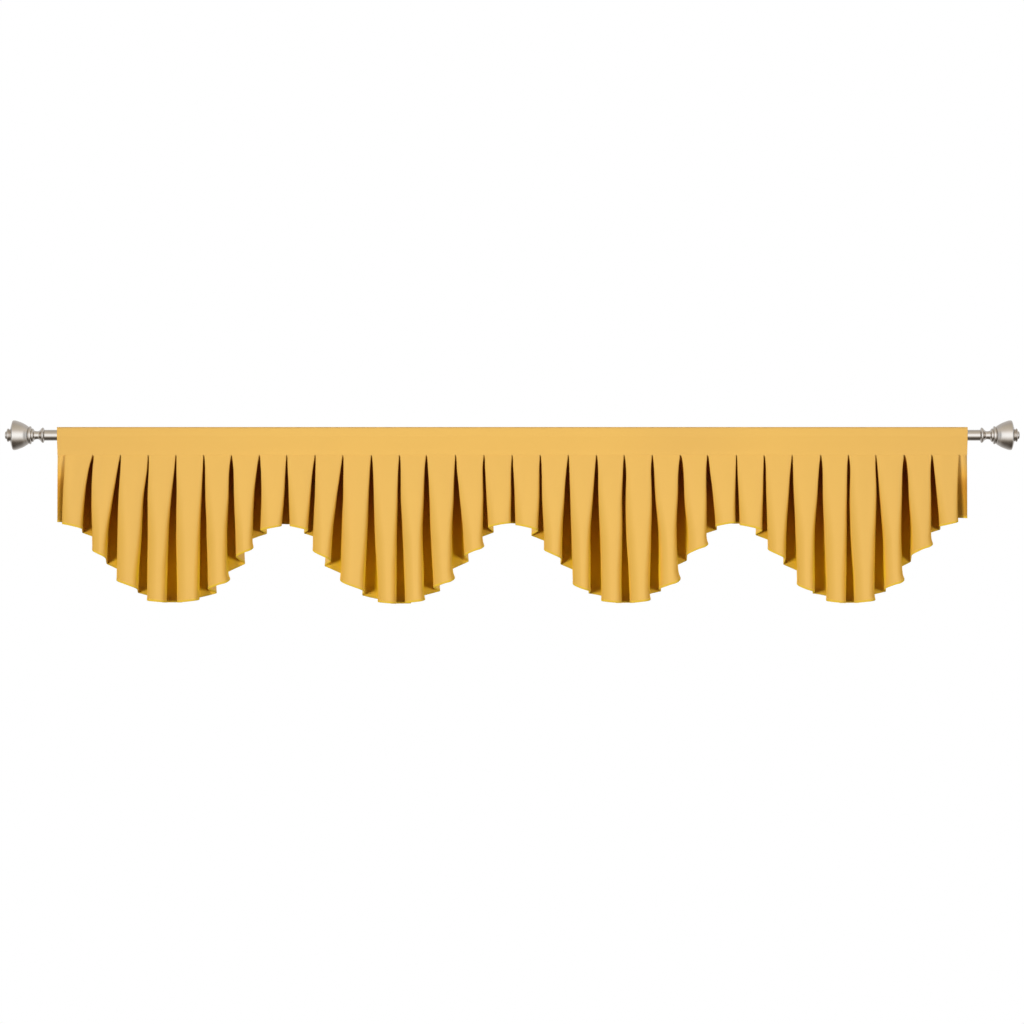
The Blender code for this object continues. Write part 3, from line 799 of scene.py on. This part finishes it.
class ValanceCloth(bpy.types.PropertyGroup):
    """Cloth of the heading band and the skirt."""

    colour: colour_prop("Cloth colour", "Dyed colour of the cloth", (0.705, 0.427, 0.106))
    # painted shade: the turn, fold, deep, end and rim tones below stand for shade in the folds, on
    # the end strips and along the hem's edges
    turn_shade_colour: colour_prop("Turn colour", "Tone where a face turns in", (0.69, 0.37, 0.06))
    fold_shade_colour: colour_prop("Fold colour", "Tone inside the folds", (0.73, 0.455, 0.013))
    deep_shade_colour: colour_prop("Deep colour", "Tone in the folds' narrow tops", (0.42, 0.13, 0.005))
    end_shade_colour: colour_prop("End colour", "Tone low on the strips at the ends", (0.30, 0.14, 0.012))
    hem_shade_colour: colour_prop("Rim colour", "Tone along the cut edge of the hem", (0.64, 0.415, 0.03))
    thickness: length_prop("Cloth thickness", "Thickness of one layer", CLOTH * MM)
    hem_thickness: length_prop("Hem thickness", "Thickness of the turned hem", 2.0 * MM)
    thread_pitch: length_prop("Thread pitch", "Distance from thread to thread in the weave", 0.0011)
    thread_relief: length_prop("Thread relief", "Height of the weave's relief", 0.00012)
    wrinkle: length_prop("Wrinkles", "Depth of the soft wrinkles in the faces", 0.0014)


class ValanceMetal(bpy.types.PropertyGroup):
    """Metal of the rod and the finials."""

    colour: colour_prop("Metal colour", "Colour of the satin nickel", (0.62, 0.575, 0.53))
    roughness: bpy.props.FloatProperty(
        name="Metal roughness", description="How satin it is", default=0.17, min=0.0, max=1.0
    )


class ValanceSewing(bpy.types.PropertyGroup):
    """Stitches of the hem and the seam."""

    stitch: length_prop("Stitch length", "Length of one stitch", 0.0024)
    pitch: length_prop("Stitch pitch", "Distance from one stitch to the next", 0.0033)
    thread: length_prop("Thread thickness", "Thickness of the sewing thread", 0.0004)


class ValanceStage(bpy.types.PropertyGroup):
    """Floor, lights and camera."""

    floor_colour: colour_prop("Floor colour", "Colour of the floor", (0.86, 0.86, 0.85))
    floor_drop: length_prop("Floor drop", "How far the floor lies below the rod", 2.1)
    key_power: bpy.props.FloatProperty(
        name="Key light", description="Strength of the two main lights", default=5.2, min=0.0
    )
    ambient: bpy.props.FloatProperty(
        name="Ambient light", description="Even light from all round", default=0.03, min=0.0
    )


# ==================== pieces
class VALANCE_OT_pleated_skirt(bpy.types.Operator):
    """Fold the flat scalloped cloth into its box pleats and hang it from the seam"""

    bl_idname = "valance.pleated_skirt"
    bl_label = "Pleated skirt"

    def execute(self, context):
        sizes = context.scene.valance_cloth
        table = FoldTable()
        columns = table.columns()
        rows = len(SEAM_ROWS) + FIELD_ROWS + len(HEM_ROWS)
        bm, net = grid_of(len(columns), rows)
        from_hem, in_fold, by_edge, at_end = (bm.verts.layers.float[n] for n in LAYERS)
        deform = bm.verts.layers.deform.verify()
        place = {}
        plain = sizes.thickness / sizes.hem_thickness
        for c, (i, k) in enumerate(columns):
            hem = table.hem(i, k)
            drops = list(SEAM_ROWS)
            top, low = SEAM_ROWS[-1], hem - HEM_ROWS[0]
            drops += [top + (low - top) * (n + 1) / (FIELD_ROWS + 1) for n in range(FIELD_ROWS)]
            drops += [hem - up for up in HEM_ROWS]
            count = len(table.lines[i][0])
            # painted shade: each point's shares of the fold shade (a little less on the end
            # strips), of the shade along the faces' edges and of the shade low on the end strips
            depth = fold_shade_share(i, k, count)
            on_strip = i in (0, LAST) and depth == 1.0
            full, reach = (STRIP_FOLD_SHADE, STRIP_SHADE_REACH) if on_strip else (1.0, FOLD_SHADE_REACH)
            for r, d in enumerate(drops):
                x, y, _, u = table.hung(i, k, d, hem, sizes.wrinkle / MM)
                vert, edge = net[r][c], hem - d
                vert.co = Vector((x, y, BAND_BOTTOM - d)) * MM
                # the painted fold shade eases off near the hem, where light gets in
                near = 0.82 + 0.18 * ease((edge - 6.0) / 30.0)
                vert[from_hem] = edge * MM
                vert[in_fold] = depth * full * near * ease((d + 4.0) / reach)
                vert[by_edge] = edge_shade_share(i, k, count, x, d)
                vert[at_end] = end_shade_share(i, depth, d)
                share = plain + (1 - plain) * (1 - ease((edge - HEM_TURN + 2.0) / 2.5))
                vert[deform][0] = share * HEM_PRESSED if edge < HEM_ROWS[-2] / 2 else share
                place[vert] = (u * MM, -d * MM)
        lay_uv(bm, place)
        right_side = cloth_finish("valance cloth, skirt", sizes, hem=True, folds=True)
        wrong_side = cloth_finish("valance cloth, wrong side", sizes, hem=True)
        piece = new_piece("pleated_skirt_cloth", bm, right_side)
        piece.data.materials.append(wrong_side)
        thicken(piece, sizes.hem_thickness).material_offset = 1
        piece.visible_glossy = False
        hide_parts("pleated_skirt")
        return {"FINISHED"}


def sewn(line, sizes):
    """Stitches along a line of (place, outward) vectors in metres."""
    bm, one = bmesh.new(), bmesh.new()
    bmesh.ops.create_icosphere(one, subdivisions=1, radius=1.0)
    stitch = bpy.data.meshes.new("stitch")
    walked, wanted = 0.0, sizes.pitch
    for (p, out), (q, _) in zip(line, line[1:]):
        step = (q - p).length
        while walked + step > wanted:
            along = (q - p).normalized()
            side = along.cross(out).normalized()
            half = sizes.thread / 2
            turn = Matrix((along * sizes.stitch / 2, out * half, side * half)).transposed()
            place = Matrix.Translation(p + along * (wanted - walked)) @ turn.to_4x4()
            one.transform(place)
            one.to_mesh(stitch)
            bm.from_mesh(stitch)
            one.transform(place.inverted())
            wanted += sizes.pitch
        walked += step
    one.free()
    bpy.data.meshes.remove(stitch)
    return bm


class VALANCE_OT_sewing(bpy.types.Operator):
    """Sew the skirt's hem and the band's seam, front and back"""

    bl_idname = "valance.sewing"
    bl_label = "Sewing"

    def execute(self, context):
        sizes, cloth = context.scene.valance_sewing, context.scene.valance_cloth
        thread = thread_finish("sewing thread", cloth)
        table = FoldTable()
        for name, side in (("hem_stitches_front", 1), ("hem_stitches_back", -1)):
            line = []
            for i, k in table.columns():
                hem = table.hem(i, k)
                d = hem - HEM_STITCH_UP
                x, y, turn, _ = table.hung(i, k, d, hem, cloth.wrinkle / MM)
                out = Vector((sin(turn), -cos(turn), 0.0)) * side
                centre = Vector((x, y, BAND_BOTTOM - d)) * MM
                line.append((centre + out * cloth.hem_thickness * HEM_STITCH_OUT, out))
            new_piece(name, sewn(line, sizes), thread)
        reach = (CLOTH_HALF_WIDTH - SEAM_STITCH_INSET) * MM
        lift = (BAND_BOTTOM + SEAM_STITCH_UP) * MM
        stand = SEAM_STACK / 2 + FIT + CLOTH
        for name, side in (("seam_stitches_front", -1), ("seam_stitches_back", 1)):
            out, line = Vector((0, side, 0)), []
            for k in range(2 * SEAM_STITCH_POINTS + 1):
                x = reach * (k / SEAM_STITCH_POINTS - 1)
                rise = stand + band_relief(x / MM, lift / MM) - STITCH_SUNK * sizes.thread / MM
                line.append((Vector((x, side * rise * MM, lift)), out))
            new_piece(name, sewn(line, sizes), thread)
        return {"FINISHED"}


def seam_puff(d):
    """How far the outer layers swell at the seam, so that the band's hem lies flush on them."""
    under = 0.72 * SEAM_PUFF * ease((d + 5.0) / 5.0)
    return (under + 0.4 * SEAM_PUFF * (1 - exp(-max(d, 0.0) / 3.0))) * exp(-max(d, 0.0) / 25.0)


def wrinkle_height(u, v):
    """Soft wrinkles of hung cloth, from -1 to 1, at a place of the flat cloth in metres."""
    slow = noise.noise(Vector((u * 17.0, v * 5.0, 2.3)))
    drag = noise.noise(Vector((u * 34.0 + v * 11.0, v * 12.0, 8.1)))
    return 0.9 * slow + 0.5 * drag


def band_line():
    """The band's centre line round the rod, mm: (y, z) from the front hem over the top to the back.

    It runs up from the hem, bends at the knee, meets the rod on a tangent, follows it round to its
    front, and closes over it in a squarish header.
    """
    mid = ROD_RADIUS + FIT + CLOTH / 2
    low = -(SEAM_STACK / 2 + FIT + CLOTH / 2)
    knee = (low, BAND_BOTTOM + STITCHED_DEPTH)
    lower = atan2(knee[1], knee[0]) - acos(mid / hypot(*knee)) + 2 * pi
    tangent = (mid * cos(lower), mid * sin(lower))
    front = [(low, BAND_BOTTOM + up) for up in BAND_HEM_ROWS]
    reach = hypot(tangent[0] - knee[0], tangent[1] - knee[1])
    start = (low, knee[1] - BAND_KNEE_BLEND + 1.5)
    out = [(knee[n] + (tangent[n] - knee[n]) * BAND_KNEE_BLEND / reach) for n in (0, 1)]
    for k in range(7):
        t = k / 6
        front.append(tuple(
            (1 - t) ** 2 * p + 2 * t * (1 - t) * q + t * t * r
            for p, q, r in zip(start, knee, out)
        ))
    front += between(out, tangent, 4)
    for k in range(5):
        a = lower + (pi - lower) * k / 5
        front.append((mid * cos(a), mid * sin(a)))
    crest, power = BAND_TOP - CLOTH / 2, 2 / HEADER_SQUARE
    for k in range(12):
        a = pi / 2 * k / 12
        front.append((-mid * cos(a) ** power, crest * sin(a) ** power))
    return front + [(0.0, crest)] + [(-y, z) for y, z in reversed(front)]


class VALANCE_OT_heading_band(bpy.types.Operator):
    """Fold the heading strip round the rod and close it on the skirt's top"""

    bl_idname = "valance.heading_band"
    bl_label = "Heading band"

    def execute(self, context):
        sizes = context.scene.valance_cloth
        line = band_line()
        lengths = [0.0]
        for one, two in zip(line, line[1:]):
            lengths.append(lengths[-1] + hypot(two[0] - one[0], two[1] - one[1]))
        reach = CLOTH_HALF_WIDTH
        inner = reach - BAND_ENDS[-1]
        xs = [-reach + e for e in BAND_ENDS]
        xs += [-inner + 2 * inner * k / BAND_COLUMNS for k in range(1, BAND_COLUMNS)]
        xs += [reach - e for e in reversed(BAND_ENDS)]
        bm, net = grid_of(len(xs), len(line))
        deform = bm.verts.layers.deform.verify()
        place = {}
        last = len(line) - 1
        for n, (y, z) in enumerate(line):
            before, after = line[max(n - 1, 0)], line[min(n + 1, last)]
            across = Vector((before[1] - after[1], after[0] - before[0])).normalized()
            for vert, x in zip(net[last - n], xs):
                push = band_relief(x, z)
                vert.co = Vector((x, y + push * across[0], z + push * across[1])) * MM
                vert[deform][0] = 1.0 - 0.75 * (1 - ease((z - BAND_BOTTOM) / 3.5))
                place[vert] = (x * MM, lengths[n] * MM)
        lay_uv(bm, place)
        bmesh.ops.reverse_faces(bm, faces=bm.faces)
        piece = new_piece("heading_band_cloth", bm, cloth_finish("valance cloth, band", sizes))
        thicken(piece, sizes.thickness)
        piece.visible_glossy = False
        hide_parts("heading_band")
        return {"FINISHED"}


def band_relief(x, z):
    """How far the band stands off its plain line, mm: faint ripples between rod and seam."""
    flat = ease((-z - 4.0) / 14.0) * ease((z - BAND_BOTTOM) / 12.0)
    ripple = noise.noise(Vector((x * 0.011, z * 0.02, 5.0))) * 0.5
    pull = noise.noise(Vector((x * 0.035, z * 0.012, 9.0))) * 0.3
    return flat * (0.15 + ripple + pull)


def smooth_outline(rows):
    """Round the outline's corners with two cuts, except where a row is crisp."""
    line = list(rows)
    for _ in range(2):
        cut = [line[0]]
        for k in range(len(line) - 1):
            (x0, r0, c0), (x1, r1, c1) = line[k], line[k + 1]
            if k and not c0:
                cut.append((x0 * 0.75 + x1 * 0.25, r0 * 0.75 + r1 * 0.25, 0))
            if k + 1 < len(line) - 1 and not c1:
                cut.append((x0 * 0.25 + x1 * 0.75, r0 * 0.25 + r1 * 0.75, 0))
            elif k + 1 < len(line) - 1:
                cut.append((x1, r1, 1))
        cut.append(line[-1])
        line = cut
    return [(x, r) for x, r, _ in line]


def turn_round(outline):
    """Spin an outline of (x, radius) rows in metres once round the rod's axis."""
    bm = bmesh.new()
    verts = [bm.verts.new((x, 0.0, r)) for x, r in outline]
    chain = [bm.edges.new(pair) for pair in zip(verts, verts[1:])]
    bmesh.ops.spin(
        bm, geom=verts + chain, cent=(0, 0, 0), axis=(1, 0, 0), angle=2 * pi,
        steps=TURNED_SIDES, use_merge=True,
    )
    bmesh.ops.remove_doubles(bm, verts=bm.verts, dist=1e-6)
    bmesh.ops.recalc_face_normals(bm, faces=bm.faces)
    return bm


class VALANCE_OT_rod_and_finials(bpy.types.Operator):
    """Turn the tube of the rod and a finial for each of its ends"""

    bl_idname = "valance.rod_and_finials"
    bl_label = "Rod and finials"

    def execute(self, context):
        sizes = context.scene.valance_metal
        nickel = nickel_finish("satin nickel", sizes)
        half, inner, edge = ROD_LENGTH / 2, ROD_RADIUS - ROD_WALL, 0.25
        rod = [
            (-half, inner + edge), (-half, ROD_RADIUS - edge), (edge - half, ROD_RADIUS),
            (half - edge, ROD_RADIUS), (half, ROD_RADIUS - edge), (half, inner + edge),
            (half - edge, inner), (edge - half, inner), (-half, inner + edge),
        ]
        bm = turn_round([(x * MM, r * MM) for x, r in rod])
        piece = new_piece("rod_tube", bm, nickel)
        mark_creases(piece, 40)
        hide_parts("rod")
        start = ROD_LENGTH / 2 + FIT
        plug = ROD_RADIUS - ROD_WALL - FIT
        turned = smooth_outline(FINIAL + ((FINIAL_TIP, 2.6, 0), (FINIAL_TIP + 0.1, 0.0, 0)))
        outline = [(start - PLUG_LENGTH, 0.0), (start - PLUG_LENGTH, plug - 1.0)]
        outline += [(start - PLUG_LENGTH + 1.0, plug), (start, plug)]
        outline += [(start + along, radius) for along, radius in turned]
        for name, side in (("finial_left", -1), ("finial_right", 1)):
            bm = turn_round([(side * x * MM, r * MM) for x, r in outline])
            piece = new_piece(f"{name}_turned", bm, nickel)
            mark_creases(piece, 38)
            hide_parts(name)
        return {"FINISHED"}


def mark_creases(piece, degrees):
    """Keep edges that turn by more than this sharp in the shading."""
    bm = bmesh.new()
    bm.from_mesh(piece.data)
    for edge in bm.edges:
        if len(edge.link_faces) == 2:
            edge.smooth = edge.calc_face_angle() < radians(degrees)
    bm.to_mesh(piece.data)
    bm.free()


# ==================== stage
# what the camera takes in at the rod, 2.6 mm a pixel, and where it stands along X and Z, m
VIEW_WIDTH = 1024 * 2.6 * MM
VIEW_CENTRE = (-0.00078, -0.1996)


def aim(azimuth, height):
    """Turn of a lamp that stands at this azimuth, left of the camera, and height."""
    direction = Vector((sin(azimuth) * cos(height), cos(azimuth) * cos(height), -sin(height)))
    return direction.to_track_quat("-Z", "Y").to_euler()


def add_sun(name, power, azimuth, height, spread):
    """A soft distant lamp that leaves the metal's reflections alone."""
    lamp = bpy.data.lights.new(name, "SUN")
    lamp.energy, lamp.angle = power, spread
    holder = bpy.data.objects.new(name, lamp)
    holder.rotation_euler = aim(azimuth, height)
    holder.visible_glossy = False
    bpy.context.scene.collection.objects.link(holder)


def light_world(scene, sizes):
    """White surroundings, a little even light, and a studio for the metal to mirror."""
    world = bpy.data.worlds.new("studio")
    scene.world = world
    world.use_nodes = True
    world.node_tree.nodes.clear()
    room = Finish(world.node_tree)
    way = room.add("ShaderNodeTexCoord", None, None, "Generated")
    depth, height = (room.add("ShaderNodeSeparateXYZ", None, {0: way}, n) for n in (1, 2))
    ahead = room.ramp(height * 0.5 + 0.5, [
        (0.0, (0.10, 0.088, 0.075)), (0.08, (0.155, 0.135, 0.115)), (0.123, (0.27, 0.245, 0.21)),
        (0.18, (0.50, 0.47, 0.43)), (0.235, (0.82, 0.80, 0.77)), (0.36, (1.36, 1.38, 1.40)),
        (0.44, (1.54, 1.60, 1.65)), (0.56, (1.54, 1.60, 1.65)), (0.63, (1.42, 1.44, 1.46)),
        (0.69, (1.26, 1.25, 1.23)), (0.76, (1.00, 0.96, 0.90)), (0.82, (0.87, 0.81, 0.74)),
        (0.92, (0.76, 0.71, 0.61)), (1.0, (0.66, 0.61, 0.53)),
    ])
    behind = room.ramp(height * 0.5 + 0.5, [
        (0.0, (0.10, 0.09, 0.08)), (0.03, (0.20, 0.19, 0.18)), (0.09, (0.38, 0.37, 0.36)),
        (0.22, (0.66, 0.65, 0.64)), (0.5, (0.8, 0.8, 0.8)), (0.9, (0.70, 0.68, 0.66)),
        (1.0, (0.60, 0.57, 0.53)),
    ])
    across = room.add("ShaderNodeSeparateXYZ", None, {0: way}, 0)
    sides = room.remap(across.size(), 0.74, 0.90, 1.0, 0.12)
    mirrored = room.mix(room.remap(depth, -0.1, 0.3), ahead, behind)
    mirrored = room.mix(sides, (0.05, 0.045, 0.04), mirrored)
    rays = ("Is Glossy Ray", "Is Camera Ray")
    glossy, camera = (room.add("ShaderNodeLightPath", None, None, ray) for ray in rays)
    lit = room.mix(glossy, (sizes.ambient,) * 3, mirrored)
    seen = room.mix(camera, lit, (1.0, 1.0, 1.0))
    shade = room.add("ShaderNodeBackground", None, {"Color": seen, "Strength": 1.0})
    room.add("ShaderNodeOutputWorld", None, {"Surface": shade}, None)


class VALANCE_OT_stage(bpy.types.Operator):
    """Lay the floor, set the studio lights and the camera"""

    bl_idname = "valance.stage"
    bl_label = "Stage"

    def execute(self, context):
        sizes = context.scene.valance_stage
        bm = bmesh.new()
        bmesh.ops.create_grid(bm, x_segments=2, y_segments=2, size=3.0)
        bmesh.ops.translate(bm, verts=bm.verts, vec=(0, 0, -sizes.floor_drop))
        mesh = bpy.data.meshes.new("studio_floor")
        bm.to_mesh(mesh)
        bm.free()
        floor = bpy.data.objects.new("studio_floor", mesh)
        mesh.materials.append(floor_finish("studio floor", sizes))
        context.scene.collection.objects.link(floor)
        floor.visible_glossy = floor.visible_diffuse = False

        light_world(context.scene, sizes)
        for name, power, azimuth, height, spread in (
            ("left key", sizes.key_power * 0.6, 42, -3.5, 18),
            ("right key", sizes.key_power * 0.4, -42, -3.5, 18),
            ("top", 0.2, 0, 58, 30),
            ("top back", 1.6, 180, 62, 30),
            ("back left", 2.0, 138, 8, 25),
            ("back right", 1.6, 222, 8, 25),
        ):
            add_sun(name, power, radians(azimuth), radians(height), radians(spread))

        camera = bpy.data.cameras.new("front camera")
        camera.lens, camera.sensor_width = 150.0, 36.0
        camera.clip_end = 100.0
        view = bpy.data.objects.new("front camera", camera)
        away = VIEW_WIDTH * camera.lens / camera.sensor_width
        view.location = (VIEW_CENTRE[0], -away, VIEW_CENTRE[1])
        view.rotation_euler = Euler((pi / 2, 0, 0))
        context.scene.collection.objects.link(view)
        context.scene.camera = view
        context.scene.view_settings.view_transform = "Standard"
        context.scene.view_settings.look = "None"
        return {"FINISHED"}


# ==================== add-on
class VALANCE_PT_panel(bpy.types.Panel):
    """Sizes and colours, and a button for each group of pieces"""

    bl_idname = "VALANCE_PT_panel"
    bl_label = "Valance"
    bl_space_type = "VIEW_3D"
    bl_region_type = "UI"
    bl_category = "Valance"

    def draw(self, context):
        for group in ("valance_cloth", "valance_metal", "valance_sewing", "valance_stage"):
            settings = getattr(context.scene, group)
            box = self.layout.box()
            for name in type(settings).__annotations__:
                box.prop(settings, name)
        for operator in PIECES:
            self.layout.operator(operator.bl_idname)


PIECES = (
    VALANCE_OT_stage,
    VALANCE_OT_rod_and_finials,
    VALANCE_OT_sewing,
    VALANCE_OT_heading_band,
    VALANCE_OT_pleated_skirt,
)
GROUPS = (
    ("valance_cloth", ValanceCloth),
    ("valance_metal", ValanceMetal),
    ("valance_sewing", ValanceSewing),
    ("valance_stage", ValanceStage),
)


def register():
    for name, group in GROUPS:
        bpy.utils.register_class(group)
        setattr(bpy.types.Scene, name, bpy.props.PointerProperty(type=group))
    for cls in (*PIECES, VALANCE_PT_panel):
        bpy.utils.register_class(cls)


def unregister():
    for cls in reversed((*PIECES, VALANCE_PT_panel)):
        bpy.utils.unregister_class(cls)
    for name, group in reversed(GROUPS):
        delattr(bpy.types.Scene, name)
        bpy.utils.unregister_class(group)


def main():
    register()
    bpy.ops.valance.stage()
    bpy.ops.valance.rod_and_finials()
    bpy.ops.valance.sewing()
    bpy.ops.valance.heading_band()
    bpy.ops.valance.pleated_skirt()


if __name__ == "__main__":
    main()
